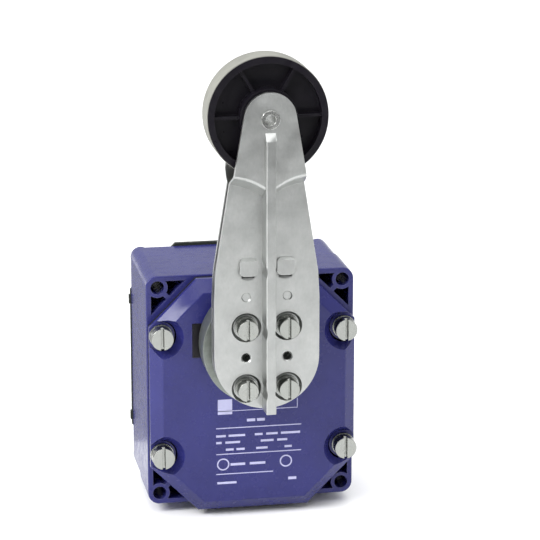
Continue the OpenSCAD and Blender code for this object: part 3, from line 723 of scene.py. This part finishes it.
class SWITCH_OT_printing(bpy.types.Operator):
    """Adds plain rules, dashes and a blank panel where the cover carries its printing"""
    bl_idname = "switch.add_printing"
    bl_label = "Printing"

    def execute(self, context):
        front = cover_low.y
        ink = 0.06 * MM

        def bar(left, right, low, high):
            return block("bar", (left * MM, front - ink, low * MM),
                         (right * MM, front + ink, high * MM))

        rules = ((-16.8, 20.3, -15.1, -14.7), (-16.8, 20.3, -26.8, -26.4), (-16.8, 8.0, -35.8, -35.4))
        panel = ((-16.0, 18.7, -7.4, -7.1), (-16.0, -9.8, -8.7, -2.0), (18.4, 18.7, -7.2, -3.0))
        bars = [bar(*edges) for edges in (*rules, *panel)]
        rows = (
            (-11.8, 1.9, ((-3.4, 0.2), (1.0, 4.4))),
            (-18.4, 1.5, ((-16.8, -12.6), (-11.4, -4.2), (0.0, 3.4), (5.0, 10.0), (11.4, 19.8))),
            (-21.4, 1.5, ((-16.8, -14.4), (-12.8, -6.4), (2.6, 8.2), (9.8, 14.2))),
            (-24.6, 1.5, ((-12.6, -9.2), (-8.0, -4.4), (0.6, 5.6), (13.0, 16.2))),
            (-31.4, 1.7, ((-10.6, -4.2), (-2.2, 4.6))),
            (-39.6, 1.5, ((-16.4, -8.0),)),
            (-39.2, 1.9, ((14.6, 18.2),)),
        )
        for middle, height, dashes in rows:
            bars += [bar(left, right, middle - height * 0.32, middle + height * 0.32)
                     for left, right in dashes]
        for x, z, radius in ((-13.8, -31.2, 2.7), (13.6, -31.2, 2.7)):
            ring = rod("ring", x * MM, z * MM, front - ink, front + ink, radius * MM, 40)
            eye = rod("eye", x * MM, z * MM, front - MM, front + MM, (radius - 0.55) * MM, 40)
            bars.append(cut(ring, eye))
        clear_selection()
        for piece in bars:
            piece.select_set(True)
        bpy.context.view_layer.objects.active = bars[0]
        bpy.ops.object.join()
        printing = named("cover_printing")
        fit(printing, "housing", "ink")
        return {"FINISHED"}


# ---- Screws ----

def cheese_screw(name, x, z, front, head_back, head_radius, slot_width, shank_back):
    """Slotted cheese-head screw whose slot stands upright."""
    screw = rod(name, x, z, front, head_back, head_radius)
    slot = block("slot", (x - slot_width / 2, front - MM, z - 8 * MM),
                 (x + slot_width / 2, front + 2.3 * MM, z + 8 * MM))
    cut(screw, slot)
    add(screw, rod("shank", x, z, head_back - 0.5 * MM, shank_back, 2.5 * MM, 32))
    return soften(screw, 0.3 * MM, 3, 40)


def flat_washer(name, x, z, front, back, radius):
    """Flat washer for an M5 screw."""
    washer = rod(name, x, z, front, back, radius)
    cut(washer, rod("hole", x, z, front - MM, back + MM, M5_CLEAR, 32))
    return soften(washer, 0.15 * MM, 2, 40)


def screw_set(name, body, places, spacing, slot_width, screw_box, washer_box):
    """Makes one screw and its washer, copies them to the other places and fits them all."""
    x, z = places[0]
    (screw_low, screw_high), (washer_low, washer_high) = screw_box, washer_box
    screw = cheese_screw(f"{name}_1", x, z, screw_low.y, washer_low.y,
                         screw_high.x - spacing / 2, slot_width, screw_high.y)
    washer = flat_washer(f"{name}_washer_1", x, z, washer_low.y, washer_high.y,
                         washer_high.x - spacing / 2)
    pairs = [(screw, washer)]
    for number, place in enumerate(places[1:], 2):
        move = (place[0] - x, 0, place[1] - z)
        pairs.append((copied(screw, f"{name}_{number}", move),
                      copied(washer, f"{name}_washer_{number}", move)))
    for screw, washer in pairs:
        fit(screw, body, "screw_zinc", f"{name}s")
        fit(washer, body, "screw_zinc", f"{name}_washers")


class SWITCH_OT_cover_screws(bpy.types.Operator):
    """Adds the four cover screws and their washers"""
    bl_idname = "switch.add_cover_screws"
    bl_label = "Cover screws"

    def execute(self, context):
        sizes = context.scene.switch_body
        screw_set("cover_screw", "housing", four_places(sizes.screw_x, sizes.screw_z), sizes.screw_x,
                  1.3 * MM, (screws_low, screws_high), (washers_low, washers_high))
        return {"FINISHED"}


class SWITCH_OT_lever_screws(bpy.types.Operator):
    """Adds the four lever screws and their washers"""
    bl_idname = "switch.add_lever_screws"
    bl_label = "Lever screws"

    def execute(self, context):
        sizes = context.scene.switch_lever
        places = four_places(sizes.screw_x, sizes.screw_z, SHAFT_Z)
        screw_set("lever_screw", "lever", places, sizes.screw_x, 1.2 * MM,
                  (lever_screws_low, lever_screws_high), (lever_washers_low, lever_washers_high))
        return {"FINISHED"}


# ---- Lever ----

class SWITCH_OT_hub(bpy.types.Operator):
    """Adds the drum that joins the lever to the shaft"""
    bl_idname = "switch.add_hub"
    bl_label = "Lever hub"

    def execute(self, context):
        sizes = context.scene.switch_lever
        radius = hub_high.x
        drum_front = hub_high.y - 12 * MM
        hub = rod("drum_hub", 0, SHAFT_Z, drum_front, hub_high.y, radius, 128)
        pick(hub, "FACE", facing((0, -1, 0)))
        bpy.ops.mesh.inset(thickness=radius - 19.5 * MM)
        extrude((0, hub_low.y - drum_front, 0))
        done()
        pick(hub, "FACE", facing((0, 1, 0), hub_high.y))
        bpy.ops.mesh.inset(thickness=3 * MM)
        extrude((0, -8 * MM, 0))
        done()
        cut(hub, rod("bore", 0, SHAFT_Z, drum_front - MM, hub_high.y + MM, 7.02 * MM),
            block("square", (-5.02 * MM, hub_low.y - MM, SHAFT_Z - 5.02 * MM),
                  (5.02 * MM, hub_high.y, SHAFT_Z + 5.02 * MM)))
        cut(hub, *[rod("thread", x, z, hub_low.y - MM, hub_low.y + 9 * MM, M5_TAPPED, 32)
                   for x, z in four_places(sizes.screw_x, sizes.screw_z, SHAFT_Z)])
        soften(hub, 0.7 * MM, 3, 40)
        fit(hub, "lever", "die_cast", "lever_hub")
        return {"FINISHED"}


BEND_Z = 98.5 * MM
BEND_RISE = 4.5 * MM
BEND_DROP = 6.5 * MM
FOLD_WIDTH = 1.1 * MM
UPPER_REACH = 46 * MM
LUG_RISE = 38.8 * MM
DIMPLE_RISE = 26 * MM
BACK_RIB_RISE = 27 * MM
BEND_LINE = ((0, 92), (6.5, 95.9), (10.5, 97.5), (15.4, 98.5))
LOW_TAPER = ((22, 50), (21.4, 61), (18.9, 77), (15.4, 98.5))


def half_plate(sizes, front):
    """Right half of a plate: round foot, tapered sides, V-shaped bend and the upper flat."""
    back = front + sizes.thickness
    plate = rod("plate", 0, SHAFT_Z, front, back, sizes.foot_radius, 160)
    slice_off(plate, (0, 0, SHAFT_Z), (0, 0, 1))
    pick(plate, "FACE", facing((0, 0, 1)))
    extrude((0, 0, BEND_Z - SHAFT_Z))
    done()
    slice_off(plate, (0, 0, 0), (-1, 0, 0))
    for (x0, z0), (x1, z1) in zip(LOW_TAPER, LOW_TAPER[1:]):
        slice_off(plate, (x0 * MM, 0, z0 * MM), (z1 - z0, 0, x0 - x1))
    for (x0, z0), (x1, z1) in zip(BEND_LINE, BEND_LINE[1:]):
        slice_off(plate, (x0 * MM, 0, z0 * MM), (z0 - z1, 0, x1 - x0))
    for step in ((0, -sizes.joggle, BEND_RISE), (0, 0, UPPER_REACH)):
        pick(plate, "FACE", lambda face, points: face.normal.z > 0.5 and abs(face.normal.y) < 0.01)
        extrude(step)
        done()
    top = AXLE.z + sizes.eye_radius
    taper = (AXLE.z - BEND_Z - BEND_RISE, 0, 14.9 * MM - sizes.eye_radius)
    slice_off(plate, (0, 0, top), (0, 0, 1))
    slice_off(plate, (sizes.eye_radius, 0, AXLE.z), taper)
    merge_flats(plate)
    shoulder = sizes.eye_radius * (1 - taper[2] / taper[0])
    bevel_edges(plate, lambda edge, points: all(p.z > top - TINY and p.x > MM for p in points),
                0.96 * shoulder, 20)
    upper = front - sizes.joggle
    fold_top = BEND_Z + BEND_RISE + 0.2 * MM
    for level in (upper, upper + sizes.thickness):
        bevel_edges(plate, lambda edge, points: all(
            abs(p.y - level) < TINY and p.z < fold_top for p in points), FOLD_WIDTH, 4)
    pick(plate, "FACE", lambda face, points: all(abs(p.x) < TINY for p in points))
    bpy.ops.mesh.delete(type="FACE")
    done()
    return plate


def lever_plate(name, sizes, front, rib_start):
    """Whole plate seen from the front, with its rib, dimples, holes and raised squares."""
    plate = half_plate(sizes, front)
    plate.name = name
    choose(plate)
    mirror = plate.modifiers.new("Mirror", "MIRROR")
    mirror.merge_threshold = 0.01 * MM
    bpy.ops.object.modifier_apply(modifier=mirror.name)
    upper = front - sizes.joggle
    rib_face = front - sizes.rib_height
    half = sizes.rib_width / 2
    rib_end = AXLE.z - 5.4 * MM
    rib = block("rib", (-half, rib_face, rib_start), (half, front + 0.5 * MM, rib_end))
    cut(rib, block("step", (-1, upper + 0.5 * MM, BEND_Z), (1, 0, 1)))
    wedge = block("wedge", (-5 * MM, upper - 5 * MM, BEND_Z - 20 * MM), (5 * MM, 0, BEND_Z + MM))
    slice_off(wedge, (0, front + 0.5 * MM, BEND_Z - BEND_DROP), (0, -BEND_DROP, -sizes.joggle))
    cut(rib, wedge)
    slice_off(rib, (0, upper, rib_end), (0, -3.5, 2.3))
    bevel_edges(rib, lambda edge, points: all(abs(p.y - rib_face) < TINY for p in points)
                and abs(points[0].x - points[1].x) < TINY, 0.7 * MM, 4)
    screws = four_places(sizes.screw_x, sizes.screw_z, SHAFT_Z)
    lugs = [(side * 7.8 * MM, SHAFT_Z + LUG_RISE) for side in SIDES]
    cut(rib, *[rod("pinch", x, z, rib_face - MM, front + MM, abs(x) - half + 0.55 * MM, 48)
               for x, z in screws + lugs])
    add(plate, rib)
    bump_back = front + sizes.thickness + 1.4 * MM
    add(plate, *[rod("bump", x, z, front + MM, bump_back, 6.5 * MM, 48, 5.9 * MM) for x, z in screws])
    for x, z in screws:
        cut(plate, rod("dimple", x, z, front - 0.05 * MM, front + 1.5 * MM, 6.25 * MM, 64, 5.2 * MM),
            rod("hole", x, z, front - MM, front + 6 * MM, M5_CLEAR, 32))
    for side in SIDES:
        x = side * sizes.screw_x / 2
        cut(plate, rod("hole", x, SHAFT_Z, front - 2 * MM, front + 4 * MM, 1.7 * MM, 32),
            rod("sink", x, SHAFT_Z, front - 0.5 * MM, front + 0.5 * MM, 2.9 * MM, 32, 1.7 * MM),
            rod("dimple", x, SHAFT_Z + DIMPLE_RISE, front - 2 * MM, front + 0.8 * MM,
                3.2 * MM, 32, 1.6 * MM))
    for x, z in lugs:
        cut(plate, rod("dish", x, z - 0.4 * MM, front - 0.03 * MM, front + 0.5 * MM,
                       5.6 * MM, 48, 3.4 * MM))
        lug = block("lug", (x - 3.7 * MM, front - 1.4 * MM, z - 3.6 * MM),
                    (x + 3.7 * MM, front + MM, z + 3.9 * MM))
        round_corners(lug, 2.2 * MM, 6)
        slice_off(lug, (x, front - 1.4 * MM, z + 2.7 * MM), (0, -1.2, 1.4))
        add(plate, lug)
        cut(plate, block("shear", (x - 2.6 * MM, front - 0.7 * MM, z - 4.6 * MM),
                         (x + 2.6 * MM, front + 3 * MM, z - 2.4 * MM)))
    cut(plate, rod("eye_hole", 0, AXLE.z, upper - 10 * MM, upper + 10 * MM, 3.02 * MM, 48))
    return plate


class SWITCH_OT_lever_plates(bpy.types.Operator):
    """Adds the two pressed lever plates, one the other turned round"""
    bl_idname = "switch.add_lever_plates"
    bl_label = "Lever plates"

    def execute(self, context):
        sizes = context.scene.switch_lever
        front = AXLE.y - 1.5 * MM - sizes.thickness
        plate = lever_plate("front_plate", sizes, front, lever_low.z + 0.4 * MM)
        soften(plate, sizes.edge_round, 2, 38)
        fit(plate, "lever", "lever_zinc", "front_lever_plate")
        plate = lever_plate("back_plate", sizes, front, SHAFT_Z + BACK_RIB_RISE)
        turned_over(plate, AXLE.y)
        cut(plate, block("square", (-5.1 * MM, -90 * MM, SHAFT_Z - 5.1 * MM),
                         (5.1 * MM, -82 * MM, SHAFT_Z + 5.1 * MM)))
        soften(plate, sizes.edge_round, 2, 38)
        fit(plate, "lever", "lever_zinc", "rear_lever_plate")
        return {"FINISHED"}


class SWITCH_OT_axle(bpy.types.Operator):
    """Adds the hollow rivet that the roller turns on"""
    bl_idname = "switch.add_axle"
    bl_label = "Axle"

    def execute(self, context):
        axle = rod("roller_axle", 0, AXLE.z, axle_low.y + 0.9 * MM, axle_high.y - 0.9 * MM, 3 * MM)
        for front in (axle_low.y, axle_high.y - 0.9 * MM):
            add(axle, rod("lip", 0, AXLE.z, front, front + 0.9 * MM, axle_high.x))
        cut(axle, rod("bore", 0, AXLE.z, axle_low.y - MM, axle_high.y + MM, 2.05 * MM, 48))
        soften(axle, 0.35 * MM, 3, 40)
        fit(axle, "lever", "shaft_steel", "axle")
        return {"FINISHED"}


# ---- Roller ----

class SWITCH_OT_roller(bpy.types.Operator):
    """Adds the ribbed wheel and the tread round it"""
    bl_idname = "switch.add_roller"
    bl_label = "Roller"

    def execute(self, context):
        sizes = context.scene.switch_roller
        radius = wheel_high.x
        half_rim = 7 * MM
        hub_half = wheel_high.y - AXLE.y
        rim_inside = radius - sizes.rim_width
        wheel = rod("wheel", 0, AXLE.z, AXLE.y - half_rim, AXLE.y + half_rim, radius, 160)
        for side in SIDES:
            pick(wheel, "FACE", facing((0, side, 0), AXLE.y + side * half_rim))
            bpy.ops.mesh.inset(thickness=sizes.rim_width)
            extrude((0, side * (sizes.web_half - half_rim), 0))
            bpy.ops.mesh.inset(thickness=rim_inside - sizes.hub_radius)
            extrude((0, side * (hub_half - sizes.web_half), 0))
            done()
        half_thick = sizes.rib_thickness / 2
        rib = block("rib", (11.4 * MM, AXLE.y - half_rim + 1.6 * MM, AXLE.z - half_thick),
                    (rim_inside + 0.4 * MM, AXLE.y + half_rim - 1.6 * MM, AXLE.z + half_thick))
        for number in range(sizes.ribs):
            spoke = copied(rib, "spoke", (0, 0, 0))
            turn = Matrix.Rotation(2 * math.pi * number / sizes.ribs, 4, "Y")
            spoke.matrix_world = Matrix.Translation(AXLE) @ turn @ Matrix.Translation(-AXLE)
            choose(spoke)
            settle()
            add(wheel, spoke)
        bpy.data.objects.remove(rib)
        tread_inside = radius - 2.3 * MM
        groove = rod("groove", 0, AXLE.z, tread_low.y, tread_high.y, radius + MM, 160)
        cut(groove, rod("core", 0, AXLE.z, tread_low.y - MM, tread_high.y + MM, tread_inside, 160))
        cut(wheel, groove, rod("bore", 0, AXLE.z, wheel_low.y - MM, wheel_high.y + MM, 6 * MM))
        soften(wheel, 0.3 * MM, 2, 40)
        fit(wheel, "roller", "black_plastic", "roller_wheel")

        tread = rod("tread", 0, AXLE.z, tread_low.y, tread_high.y, tread_high.x, 160)
        cut(tread, rod("core", 0, AXLE.z, tread_low.y - MM, tread_high.y + MM, tread_inside, 160))
        soften(tread, 0.5 * MM, 3, 40)
        fit(tread, "roller", "tread_plastic", "roller_tread")
        return {"FINISHED"}


# ---- What stays as the CAD has it, and the stage ----

class SWITCH_OT_inner_works(bpy.types.Operator):
    """Gives the contacts, shaft parts and other carried-over nodes their finishes"""
    bl_idname = "switch.finish_inner_works"
    bl_label = "Inner works"

    def execute(self, context):
        for part in frame["record"]["subparts"]:
            node = frame["nodes"][part["node"]]
            node.data.materials.clear()
            node.data.materials.append(finish(part["material_slot"]))
        return {"FINISHED"}


class SWITCH_OT_stage(bpy.types.Operator):
    """Adds the floor, the lights, two cards seen only in reflections, and the camera"""
    bl_idname = "switch.add_stage"
    bl_label = "Stage"

    def execute(self, context):
        clear_selection()
        bpy.ops.mesh.primitive_plane_add(size=14, location=(0, 0, cad_bounds[0][2] - 0.2 * MM))
        floor = named("floor")
        pale = Layers("pale_floor")
        cloud = pale.ranged(pale.noise(1.5, 2), 0.3, 0.7, 0, 1)
        pale.join(pale.mixed(cloud, (0.95, 0.95, 0.95), (0.97, 0.97, 0.97)),
                  pale.shader.inputs["Base Color"])
        pale.shader.inputs["Roughness"].default_value = 0.9
        floor.data.materials.append(pale.material)

        world = bpy.data.worlds.new("Studio")
        world.use_nodes = True
        world.node_tree.nodes["Background"].inputs["Color"].default_value = (0.98, 0.99, 1.0, 1)
        world.node_tree.nodes["Background"].inputs["Strength"].default_value = 0.72
        context.scene.world = world
        middle = Vector((0, -0.06, 0.03))
        lights = (("key", (-0.70, -0.39, 0.59), 0.9, 0.42, 8),
                  ("overhead", (0.12, -0.32, 0.94), 0.9, 0.8, 5),
                  ("backdrop", (0.05, 0.83, 0.55), 2.6, 2.4, 40))
        for name, direction, distance, size, power in lights:
            place = middle + Vector(direction).normalized() * distance
            bpy.ops.object.light_add(type="AREA", location=place)
            light = bpy.context.object
            light.name = name
            light.data.size = size
            light.data.energy = power
            light.visible_camera = False
            light.visible_glossy = name != "backdrop"
            light.rotation_euler = (middle - place).to_track_quat("-Z", "Y").to_euler()

        card_level = cad_bounds[0][2] + 1 * MM
        cards = (("black_flag", (0.04, -0.46, 0.075), (0.7, 0.13, 1), math.pi / 2, 0.015),
                 ("grey_card", (-0.14, 0.27, card_level), (0.18, 0.46, 1), 0, 0.3))
        for name, place, scale, tilt, shade in cards:
            bpy.ops.mesh.primitive_plane_add(size=1, location=place, rotation=(tilt, 0, 0))
            bpy.context.object.scale = scale
            card = named(name)
            dull = Layers(name)
            dull.join(dull.mixed(dull.noise(8), (0.9 * shade,) * 3, (1.1 * shade,) * 3),
                      dull.shader.inputs["Base Color"])
            dull.shader.inputs["Roughness"].default_value = 1
            card.data.materials.append(dull.material)
            card.visible_camera = False
            card.visible_shadow = False
            card.visible_diffuse = False

        bpy.ops.object.camera_add(location=(-0.17826, -1.06068, 0.32458),
                                  rotation=(math.radians(75.065), 0, math.radians(-10.51)))
        camera = bpy.context.object
        camera.data.lens = 165.8
        camera.data.sensor_width = 36
        camera.data.clip_end = 50
        context.scene.camera = camera
        context.scene.view_settings.view_transform = "Standard"
        return {"FINISHED"}


class SWITCH_PT_panel(bpy.types.Panel):
    """Lists the pieces of the switch and its sizes"""
    bl_idname = "SWITCH_PT_panel"
    bl_label = "Limit switch"
    bl_space_type = "VIEW_3D"
    bl_region_type = "UI"
    bl_category = "Limit switch"

    def draw(self, context):
        column = self.layout.column()
        for operator in OPERATORS:
            column.operator(operator.bl_idname)
        for _, holder in SETTINGS:
            sizes = getattr(context.scene, holder)
            for name in sizes.bl_rna.properties.keys():
                if name not in ("rna_type", "name"):
                    column.prop(sizes, name)


OPERATORS = (SWITCH_OT_inner_works, SWITCH_OT_case, SWITCH_OT_rear_plate, SWITCH_OT_cover,
             SWITCH_OT_printing, SWITCH_OT_cover_screws, SWITCH_OT_hub, SWITCH_OT_lever_plates,
             SWITCH_OT_lever_screws, SWITCH_OT_axle, SWITCH_OT_roller, SWITCH_OT_stage)
SETTINGS = ((SwitchBodySizes, "switch_body"), (SwitchLeverSizes, "switch_lever"),
            (SwitchRollerSizes, "switch_roller"), (SwitchColours, "switch_colours"))


def register():
    for kind, holder in SETTINGS:
        bpy.utils.register_class(kind)
        setattr(bpy.types.Scene, holder, PointerProperty(type=kind))
    for kind in (*OPERATORS, SWITCH_PT_panel):
        bpy.utils.register_class(kind)


def unregister():
    for kind in (SWITCH_PT_panel, *reversed(OPERATORS)):
        bpy.utils.unregister_class(kind)
    for kind, holder in reversed(SETTINGS):
        delattr(bpy.types.Scene, holder)
        bpy.utils.unregister_class(kind)


def main():
    """Builds every piece in order."""
    register()
    for operator in OPERATORS:
        group, name = operator.bl_idname.split(".")
        getattr(getattr(bpy.ops, group), name)()


if __name__ == "__main__":
    main()
